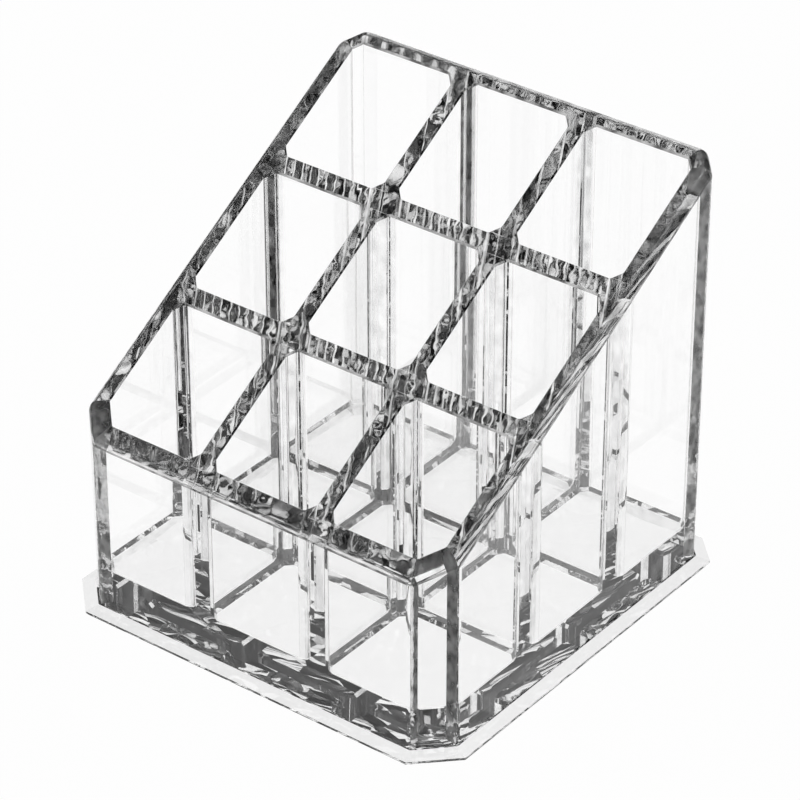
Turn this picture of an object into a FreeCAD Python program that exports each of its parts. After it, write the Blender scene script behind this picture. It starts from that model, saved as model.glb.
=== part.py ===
import FreeCAD, Part
import math
import os

from FreeCAD import Vector

# Clear nine-compartment holder for a vanity table, in millimetres.
# The front faces -Y, +Z is up, and the origin is on the table under the middle of the base.
# The panels are cemented together and the rim is then milled and polished as one face,
# so each panel is a blank with its joints, trimmed to the finished form.

# Compartments and panels
cell = 24.2            # clear width and depth of one compartment
divider = 3.6          # thickness of the four dividers
wall = 4.0             # thickness of the walls and of the corner panels
front_height = 38.4    # sloped rim above the table, at the outer face of the front wall
back_height = 90.7     # sloped rim above the table, at the outer face of the back wall

# Corners
front_corner = 6.1     # leg of the cut-off at the two front corners
back_corner = 3.9      # leg of the cut-off at the two back corners
rib = 1.7              # leg of the slanted guide rib in every other compartment corner
corner_round = 2.5     # rounding of the upright outer edges
cell_round = 1.0       # rounding of the upright edges inside a compartment
rim_round = 1.7        # rounding of the outer edge of the rim
mouth_bevel = 0.3      # broken edge around the compartment mouths

# Base
floor_height = 8.0     # compartment floor above the table
floor_bevel = 0.65     # bevel between a compartment's floor and its walls
ledge_height = 1.2     # flange's upper face above the table, where the walls stand
ledge_width = 0.3      # flat of the flange that shows outside the walls
flange_reach = 2.9     # flange beyond the walls, at the table
flange_edge = 0.5      # upright edge below the flange's bevel
flange_round = 0.4     # rounding of the flange's corners

# Joints
housing = 1.0          # depth of the grooves that hold the dividers' ends and feet
bond_gap = 0.04        # cement line beside a housed panel and in a mitre

# Worked-out sizes
pitch = cell + divider
body = 3 * cell + 2 * divider + 2 * wall
half = body / 2
inner_half = half - wall
slope = (back_height - front_height) / body
groove_floor = floor_height - housing
floor_edge = floor_height + floor_bevel
above = back_height + body
OFFSET_LEG = 2 - math.sqrt(2)
SIDES = (-1, 1)
CELL_STEPS = (-1, 0, 1)


def rim(y):
    """Height of the sloped rim at depth y."""
    return front_height + slope * (y + half)


def polygon(points, radius=0.0):
    """Closed wire through plan points, with every corner rounded to the radius."""
    corners = [Vector(x, y, 0) for x, y in points]
    starts, edges = [], []
    for i, corner in enumerate(corners):
        to_last = (corners[i - 1] - corner).normalize()
        to_next = (corners[(i + 1) % len(corners)] - corner).normalize()
        half_angle = to_last.getAngle(to_next) / 2
        inward = (to_last + to_next).normalize()
        back_off = radius / math.tan(half_angle)
        middle = corner + inward * (radius / math.sin(half_angle) - radius)
        starts.append((corner + to_last * back_off, middle, corner + to_next * back_off))
    for i, (enter, middle, leave) in enumerate(starts):
        if radius > 0:
            edges.append(Part.Arc(enter, middle, leave).toShape())
        edges.append(Part.LineSegment(leave, starts[(i + 1) % len(starts)][0]).toShape())
    return Part.Wire(edges)


def prism(wire, bottom, top):
    solid = Part.Face(wire).extrude(Vector(0, 0, top - bottom))
    solid.translate(Vector(0, 0, bottom))
    return solid


def block(x_range, y_range, z_range):
    """Box between two limits along each axis, given in either order."""
    limits = [sorted(r) for r in (x_range, y_range, z_range)]
    sizes = [high - low for low, high in limits]
    return Part.makeBox(*sizes, Vector(*[low for low, high in limits]))


def octagon(half_x, half_y, legs, centre=(0.0, 0.0)):
    """Rectangle with its corners cut off: legs are front left, front right, back right, back left."""
    front_left, front_right, back_right, back_left = legs
    points = [
        (-half_x + front_left, -half_y), (half_x - front_right, -half_y),
        (half_x, -half_y + front_right), (half_x, half_y - back_right),
        (half_x - back_right, half_y), (-half_x + back_left, half_y),
        (-half_x, half_y - back_left), (-half_x, -half_y + front_left),
    ]
    return [(x + centre[0], y + centre[1]) for x, y in points]


def outline(offset):
    """Plan of the body grown by an offset, at a constant distance from the outer faces."""
    front = front_corner + OFFSET_LEG * offset
    back = back_corner + OFFSET_LEG * offset
    size = half + offset
    return octagon(size, size, (front, front, back, back))


def cell_plan(column, row):
    """Plan of one compartment: guide ribs in its corners, or the body's own cut-off corner."""
    legs = []
    for x_side, y_side in ((-1, -1), (1, -1), (1, 1), (-1, 1)):
        at_body_corner = column == x_side and row == y_side
        outer_leg = front_corner if y_side < 0 else back_corner
        legs.append(outer_leg - OFFSET_LEG * wall if at_body_corner else rib)
    return octagon(cell / 2, cell / 2, legs, (column * pitch, row * pitch))


def rim_face(solid):
    """The sloped top face."""
    upward = Vector(0, -slope, 1).normalize()
    sloped = [f for f in solid.Faces if f.normalAt(0, 0).getAngle(upward) < math.radians(0.1)]
    return max(sloped, key=lambda face: face.Area)


def compartment(column, row):
    """Space of one compartment, with the bevel around its floor."""
    space = prism(polygon(cell_plan(column, row), cell_round), floor_height, above + 1)
    around_floor = [e for e in space.Edges if e.BoundBox.ZMax < floor_height + 0.01]
    return space.makeChamfer(floor_bevel, around_floor)


def finished_form():
    """The cemented body above the flange: one block with nine compartments under a sloped rim."""
    form = prism(polygon(outline(0), corner_round), ledge_height, above)
    cells = [compartment(column, row) for column in CELL_STEPS for row in CELL_STEPS]
    reach = body
    over_rim = Part.makePolygon([
        Vector(-reach, -reach, rim(-reach)), Vector(-reach, reach, rim(reach)),
        Vector(-reach, reach, 2 * above), Vector(-reach, -reach, 2 * above),
        Vector(-reach, -reach, rim(-reach)),
    ])
    waste = Part.Face(over_rim).extrude(Vector(2 * reach, 0, 0))
    form = form.cut(cells + [waste])
    form = form.makeFillet(rim_round, rim_face(form).OuterWire.Edges)
    top = rim_face(form)
    mouths = [w for w in top.Wires if not w.isSame(top.OuterWire)]
    return form.makeChamfer(mouth_bevel, [edge for wire in mouths for edge in wire.Edges])


def groove_half():
    return divider / 2 + bond_gap


def divider_lines():
    """Middle lines of the two dividers that run each way."""
    return [side * pitch / 2 for side in SIDES]


def lap_height(y):
    """Where the half-lap slots meet, midway up a crossing."""
    return (groove_floor + rim(y)) / 2


def long_divider(x):
    """Front-to-back divider: guide ribs at each crossing, slots open at the top."""
    reach = inner_half + housing - bond_gap
    blank = block((x - divider / 2, x + divider / 2), (-reach, reach), (groove_floor, above))
    ribs, slots = [], []
    for y in divider_lines():
        for x_side in SIDES:
            for y_side in SIDES:
                near_x, near_y = x + x_side * divider / 2, y + y_side * groove_half()
                ribs.append(block((near_x, near_x + x_side * rib), (near_y, near_y + y_side * rib),
                                  (floor_edge, above)))
        slots.append(block((x - divider, x + divider), (y - groove_half(), y + groove_half()),
                           (lap_height(y), above)))
    return blank.fuse(ribs).cut(slots)


def cross_divider(y):
    """Left-to-right divider: plain panel with slots open at the foot."""
    reach = inner_half + housing - bond_gap
    blank = block((-reach, reach), (y - divider / 2, y + divider / 2), (groove_floor, above))
    slots = [
        block((x - groove_half(), x + groove_half()), (y - divider, y + divider), (groove_floor, lap_height(y)))
        for x in divider_lines()
    ]
    return blank.cut(slots)


def mitred_panel(first, second):
    """Panel between two neighbouring corners of the body's plan, mitred at both ends, half a cement line short."""
    outer, inner = outline(wall), outline(-wall)
    run = Vector(*outer[second], 0) - Vector(*outer[first], 0)
    short = run.normalize() * (bond_gap / 2)
    ends = [(outer[first], 1), (outer[second], -1), (inner[second], -1), (inner[first], 1)]
    plan = [(x + sign * short.x, y + sign * short.y) for (x, y), sign in ends]
    return prism(polygon(plan), ledge_height, above)


def side_wall(first, second, along_x, side):
    """Wall with upright grooves for two divider ends, each between two guide ribs."""
    blank = mitred_panel(first, second)
    face = side * inner_half
    ribs, grooves = [], []
    for middle in divider_lines():
        groove_span = (middle - groove_half(), middle + groove_half())
        depth_span = (face + side * housing, face - side * wall)
        grooves.append((groove_span, depth_span))
        for rib_side in SIDES:
            near = middle + rib_side * groove_half()
            ribs.append(((near, near + rib_side * rib), (face, face - side * rib)))

    def stand(spans, bottom):
        x_range, y_range = spans if along_x else spans[::-1]
        return block(x_range, y_range, (bottom, above))

    blank = blank.fuse([stand(spans, floor_edge) for spans in ribs])
    return blank.cut([stand(spans, groove_floor) for spans in grooves])


def flange():
    """Octagonal foot: an upright edge at the table and a bevel up to the ledge."""
    foot = polygon(outline(flange_reach), flange_round)
    bevel_top = polygon(outline(ledge_width), flange_round)
    edge = prism(foot, 0, flange_edge)
    foot.translate(Vector(0, 0, flange_edge))
    bevel_top.translate(Vector(0, 0, ledge_height))
    return edge.fuse(Part.makeLoft([foot, bevel_top], True, True))


def base_plate(form):
    """Flange and raised floor with its bevels, and grooves for the dividers' feet."""
    floor = prism(polygon(outline(-wall - bond_gap)), ledge_height, floor_edge).common(form)
    reach = half
    depth = (groove_floor, floor_height + divider)
    grooves = []
    for middle in divider_lines():
        across = (middle - groove_half(), middle + groove_half())
        grooves.append(block(across, (-reach, reach), depth))
        grooves.append(block((-reach, reach), across, depth))
    return flange().fuse(floor.cut(grooves))


def build():
    form = finished_form()
    left, right = divider_lines()
    front, rear = divider_lines()
    blanks = {
        "front_wall": side_wall(0, 1, True, -1),
        "front_right_corner": mitred_panel(1, 2),
        "right_wall": side_wall(2, 3, False, 1),
        "back_right_corner": mitred_panel(3, 4),
        "back_wall": side_wall(4, 5, True, 1),
        "back_left_corner": mitred_panel(5, 6),
        "left_wall": side_wall(6, 7, False, -1),
        "front_left_corner": mitred_panel(7, 0),
        "left_divider": long_divider(left),
        "right_divider": long_divider(right),
        "front_cross_divider": cross_divider(front),
        "rear_cross_divider": cross_divider(rear),
    }
    panels = {name: blank.common(form) for name, blank in blanks.items()}
    panels["base_plate"] = base_plate(form)
    return panels


os.makedirs("parts", exist_ok=True)
for name, shape in build().items():
    shape.Solids[0].exportStep(f"parts/{name}.step")
    print(name, len(shape.Solids), "solid", round(shape.Volume), "mm3", "valid" if shape.isValid() else "INVALID")
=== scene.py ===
import math

import bpy
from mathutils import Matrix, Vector
from mathutils.bvhtree import BVHTree

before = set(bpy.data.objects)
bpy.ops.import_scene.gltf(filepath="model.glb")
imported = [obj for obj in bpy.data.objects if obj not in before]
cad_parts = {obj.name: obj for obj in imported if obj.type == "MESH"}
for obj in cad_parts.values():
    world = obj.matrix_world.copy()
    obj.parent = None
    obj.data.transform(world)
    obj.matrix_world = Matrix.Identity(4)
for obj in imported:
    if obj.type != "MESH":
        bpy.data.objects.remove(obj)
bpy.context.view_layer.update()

# Camera, in metres and degrees: a long lens from the front right, above the rim
AIM = Vector((0.00154, 0.0, 0.04097))
AZIMUTH = 37.7
ELEVATION = 32.22
DISTANCE = 0.7356
LENS = 174.1
SENSOR = 36.0
CLIP_NEAR = 0.01
CLIP_FAR = 50.0

# Studio: a white floor just under the base, a dark room with a grey ceiling, and softboxes
FLOOR_SIZE = 6.0
FLOOR_GAP = 0.0003
FLOOR_WHITE = 0.9
FLOOR_ROUGHNESS = 0.9
FLOOR_GLOW = 0.985
ROOM_DARK = 0.01
ROOM_GREY = 0.12
CEILING_RISE = (0.45, 0.85)
SOFTBOXES = (
    # name, place, width and depth, watts
    ("overhead_softbox", (0.1, 0.2, 1.2), (0.9, 0.9), 3.0),
    ("left_softbox", (-1.0, -0.5, 0.8), (0.6, 0.8), 1.5),
)
BOUNCES = 48
GLOSSY_BOUNCES = 24
CLEAR_BOUNCES = 64

# Acrylic and painted joint shade: clear and haze are the limits that a finish's noise runs between
# clear is the acrylic's base colour: near 1 it is an even tint, and a dark low end is painted shade
ACRYLIC_IOR = 1.49
BUMP_HEIGHT = 0.0006
FACET_HEIGHT = 0.0014
NOISE_DETAIL = 1.0
NOISE_MIDDLE = (0.35, 0.65)
# painted shade: a dark grey laid in patches over the cemented joints, which darkens the posts
JOINT_PAINTED_SHADE = (0.04, 0.04, 0.045, 1.0)
JOINT_SHADE_SCALE = 300.0
JOINT_SHADE_COVER = (0.0, 0.06)
JOINT_SHADE_ROUGHNESS = (0.3, 0.6)
FINISHES = (
    dict(name="acrylic_panel", clear=(0.998, 1.0), scale=60.0, waves=0.02, haze=(0.0, 0.02)),
    # painted shade: the rim's base colour runs down to 0.36, which darkens the rim band
    dict(name="acrylic_rim_painted_shade", clear=(0.36, 1.0), scale=320.0, waves=0.2, haze=(0.06, 0.02)),
    dict(name="acrylic_floor", clear=(0.998, 1.0), scale=110.0, waves=0.15, haze=(0.0, 0.02), facets=0.8),
    # painted shade: the mitre's base colour runs down to 0.03, and half its light scatters off it
    dict(name="acrylic_mitre_painted_shade", clear=(0.03, 1.0), scale=350.0, waves=0.06, haze=(0.0, 0.05), painted_shade_share=0.5),
    # painted shade: broken edges round the mouths and the rim's last strip get a base colour of 0.02 to
    # 0.3
    dict(name="acrylic_edge_painted_shade", clear=(0.02, 0.3), scale=340.0, waves=0.05, haze=(0.02, 0.06)),
)
PANEL, JOINT, RIM, FLOOR, MITRE, EDGE = range(len(FINISHES) + 1)

# Telling the panels' faces apart, by their normals and by the width of a cement line
RIM_NORMAL = Vector((0.0, -0.512, 0.859))
SAME_WAY = 0.995       # least cosine between normals that point the same way
OPPOSITE = -0.99       # greatest cosine between normals that face each other
UPRIGHT = 0.03         # greatest upward part of an upright face's normal
LAST_STRIP = 0.3       # greatest upward part of the normal in the last strip of the rim's rounding
TOUCHING = 0.00008     # greatest gap between cemented faces


def add_camera():
    azimuth, elevation = math.radians(AZIMUTH), math.radians(ELEVATION)
    back = Vector((
        math.sin(azimuth) * math.cos(elevation),
        -math.cos(azimuth) * math.cos(elevation),
        math.sin(elevation),
    ))
    data = bpy.data.cameras.new("photo_camera")
    data.lens = LENS
    data.sensor_width = SENSOR
    data.clip_start = CLIP_NEAR
    data.clip_end = CLIP_FAR
    camera = bpy.data.objects.new("photo_camera", data)
    camera.location = AIM + back * DISTANCE
    camera.rotation_euler = back.to_track_quat("Z", "Y").to_euler()
    bpy.context.scene.collection.objects.link(camera)
    bpy.context.scene.camera = camera


def new_material(name):
    material = bpy.data.materials.new(name)
    material.use_nodes = True
    nodes = material.node_tree.nodes
    return material, nodes, material.node_tree.links, nodes["Principled BSDF"]


def spread(nodes, links, value, low, high):
    """The middle of a noise value, spread between two limits."""
    spread_range = nodes.new("ShaderNodeMapRange")
    spread_range.inputs["From Min"].default_value = NOISE_MIDDLE[0]
    spread_range.inputs["From Max"].default_value = NOISE_MIDDLE[1]
    spread_range.inputs["To Min"].default_value = low
    spread_range.inputs["To Max"].default_value = high
    links.new(value, spread_range.inputs["Value"])
    return spread_range.outputs["Result"]


def clear_acrylic(name, clear, scale, waves, haze, facets=0.0, painted_shade_share=0.0):
    """Acrylic with wavy or faceted faces; the last argument scatters light off the base colour, as
    painted shade.
    """
    material, nodes, links, shader = new_material(name)
    shader.inputs["IOR"].default_value = ACRYLIC_IOR
    # the share of light taken from transmission scatters off the base colour, painted shade on the mitre
    shader.inputs["Transmission Weight"].default_value = 1.0 - painted_shade_share
    place = nodes.new("ShaderNodeTexCoord")
    noise = nodes.new("ShaderNodeTexNoise")
    noise.inputs["Scale"].default_value = scale
    noise.inputs["Detail"].default_value = NOISE_DETAIL
    bump = nodes.new("ShaderNodeBump")
    bump.inputs["Strength"].default_value = waves
    bump.inputs["Distance"].default_value = BUMP_HEIGHT
    links.new(place.outputs["Object"], noise.inputs["Vector"])
    links.new(noise.outputs["Fac"], bump.inputs["Height"])
    links.new(bump.outputs["Normal"], shader.inputs["Normal"])
    # the base colour between the clear limits; its dark low ends on rim, mitre and edge are painted shade
    links.new(spread(nodes, links, noise.outputs["Fac"], *clear), shader.inputs["Base Color"])
    links.new(spread(nodes, links, noise.outputs["Fac"], *haze), shader.inputs["Roughness"])
    if facets:
        chips = nodes.new("ShaderNodeTexVoronoi")
        chips.inputs["Scale"].default_value = scale
        cut = nodes.new("ShaderNodeBump")
        cut.inputs["Strength"].default_value = facets
        cut.inputs["Distance"].default_value = FACET_HEIGHT
        links.new(place.outputs["Object"], chips.inputs["Vector"])
        links.new(chips.outputs["Distance"], cut.inputs["Height"])
        links.new(cut.outputs["Normal"], bump.inputs["Normal"])
    return material


def bonded_joint():
    """Cemented faces: the acrylic goes on through them, under a thin patchy painted shade of dark grey.
    """
    material, nodes, links, shader = new_material("bonded_joint")
    # painted shade: dark grey over the joints, its cover set by the noise below
    shader.inputs["Base Color"].default_value = JOINT_PAINTED_SHADE
    shader.inputs["Specular IOR Level"].default_value = 0.0
    place = nodes.new("ShaderNodeTexCoord")
    mottle = nodes.new("ShaderNodeTexNoise")
    mottle.inputs["Scale"].default_value = JOINT_SHADE_SCALE
    mottle.inputs["Detail"].default_value = NOISE_DETAIL
    links.new(place.outputs["Object"], mottle.inputs["Vector"])
    links.new(spread(nodes, links, mottle.outputs["Fac"], *JOINT_SHADE_COVER), shader.inputs["Alpha"])
    links.new(spread(nodes, links, mottle.outputs["Fac"], *JOINT_SHADE_ROUGHNESS), shader.inputs["Roughness"])
    return material


def mitred(name, other):
    """True for a wall and the corner panel that meets it in a mitre."""
    return {name.split("_")[-1], other.split("_")[-1]} == {"wall", "corner"}


def at_edge(name, face):
    """True for the broken edge round a mouth and for the last strip of the rim's outer rounding."""
    if face.normal.dot(RIM_NORMAL) > SAME_WAY:
        return False
    leans_inward = (face.normal - RIM_NORMAL).to_2d().dot(face.center.to_2d()) < 0.0
    return name.endswith("divider") or leans_inward or face.normal.z < LAST_STRIP


def face_kind(name, face):
    if name == "base_plate":
        return FLOOR if face.normal.z > SAME_WAY else PANEL
    if face.normal.z <= UPRIGHT:
        return PANEL
    # rim faces take the rim's painted shade, and broken edges the darker edge painted shade
    return EDGE if at_edge(name, face) else RIM


def dress_panels():
    """Give every face its finish; faces that lie on another panel's face are cemented."""
    materials = [clear_acrylic(**finish) for finish in FINISHES]
    materials.insert(JOINT, bonded_joint())
    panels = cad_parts
    trees = {
        name: BVHTree.FromPolygons(
            [vertex.co.copy() for vertex in panel.data.vertices],
            [tuple(face.vertices) for face in panel.data.polygons],
        )
        for name, panel in panels.items()
    }
    for name, panel in panels.items():
        mesh = panel.data
        mesh.materials.clear()
        for material in materials:
            mesh.materials.append(material)
        others = [(other, tree) for other, tree in trees.items() if other != name]
        for face in mesh.polygons:
            face.material_index = face_kind(name, face)
            for other, tree in others:
                spot, normal, _, _ = tree.find_nearest(face.center, TOUCHING)
                if spot is not None and normal.dot(face.normal) < OPPOSITE:
                    # touching faces get the joint's painted shade, or the mitre's painted shade
                    face.material_index = MITRE if mitred(name, other) else JOINT
                    break


def seen_rays(nodes, links):
    """1 for what the lens sees directly, in a reflection or through the acrylic."""
    path = nodes.new("ShaderNodeLightPath")
    first = nodes.new("ShaderNodeMath")
    first.operation = "MAXIMUM"
    both = nodes.new("ShaderNodeMath")
    both.operation = "MAXIMUM"
    links.new(path.outputs["Is Camera Ray"], first.inputs[0])
    links.new(path.outputs["Is Glossy Ray"], first.inputs[1])
    links.new(first.outputs["Value"], both.inputs[0])
    links.new(path.outputs["Is Transmission Ray"], both.inputs[1])
    return both.outputs["Value"]


def floor_material():
    material, nodes, links, shader = new_material("floor_white")
    shader.inputs["Base Color"].default_value = (FLOOR_WHITE, FLOOR_WHITE, FLOOR_WHITE, 1.0)
    shader.inputs["Roughness"].default_value = FLOOR_ROUGHNESS
    shader.inputs["Specular IOR Level"].default_value = 0.0
    glow = nodes.new("ShaderNodeEmission")
    share = nodes.new("ShaderNodeMath")
    share.operation = "MULTIPLY"
    share.inputs[1].default_value = FLOOR_GLOW
    mix = nodes.new("ShaderNodeMixShader")
    links.new(seen_rays(nodes, links), share.inputs[0])
    links.new(share.outputs["Value"], mix.inputs["Fac"])
    links.new(shader.outputs["BSDF"], mix.inputs[1])
    links.new(glow.outputs["Emission"], mix.inputs[2])
    links.new(mix.outputs["Shader"], nodes["Material Output"].inputs["Surface"])
    return material


def add_floor():
    bpy.ops.object.select_all(action="DESELECT")
    bpy.ops.mesh.primitive_plane_add(size=FLOOR_SIZE, location=(0.0, 0.0, -FLOOR_GAP))
    floor = bpy.context.object
    floor.name = "studio_floor"
    floor.data.materials.append(floor_material())


def add_lamp(name, place, size, power):
    data = bpy.data.lights.new(name, "AREA")
    data.shape = "RECTANGLE"
    data.size, data.size_y = size
    data.energy = power
    lamp = bpy.data.objects.new(name, data)
    lamp.location = place
    lamp.rotation_euler = Vector(place).to_track_quat("Z", "Y").to_euler()
    bpy.context.scene.collection.objects.link(lamp)


def light_studio():
    """A dark room with a grey ceiling, and the softboxes."""
    world = bpy.data.worlds.new("studio")
    world.use_nodes = True
    nodes, links = world.node_tree.nodes, world.node_tree.links
    place = nodes.new("ShaderNodeTexCoord")
    split = nodes.new("ShaderNodeSeparateXYZ")
    links.new(place.outputs["Generated"], split.inputs["Vector"])
    ceiling = nodes.new("ShaderNodeMapRange")
    ceiling.interpolation_type = "SMOOTHSTEP"
    ceiling.inputs["From Min"].default_value = CEILING_RISE[0]
    ceiling.inputs["From Max"].default_value = CEILING_RISE[1]
    ceiling.inputs["To Min"].default_value = ROOM_DARK
    ceiling.inputs["To Max"].default_value = ROOM_GREY
    links.new(split.outputs["Z"], ceiling.inputs["Value"])
    links.new(ceiling.outputs["Result"], nodes["Background"].inputs["Color"])
    bpy.context.scene.world = world
    for softbox in SOFTBOXES:
        add_lamp(*softbox)


def set_render_paths():
    scene = bpy.context.scene
    scene.view_settings.view_transform = "Standard"
    scene.cycles.max_bounces = BOUNCES
    scene.cycles.transmission_bounces = BOUNCES
    scene.cycles.glossy_bounces = GLOSSY_BOUNCES
    scene.cycles.transparent_max_bounces = CLEAR_BOUNCES


add_camera()
dress_panels()
add_floor()
light_studio()
set_render_paths()
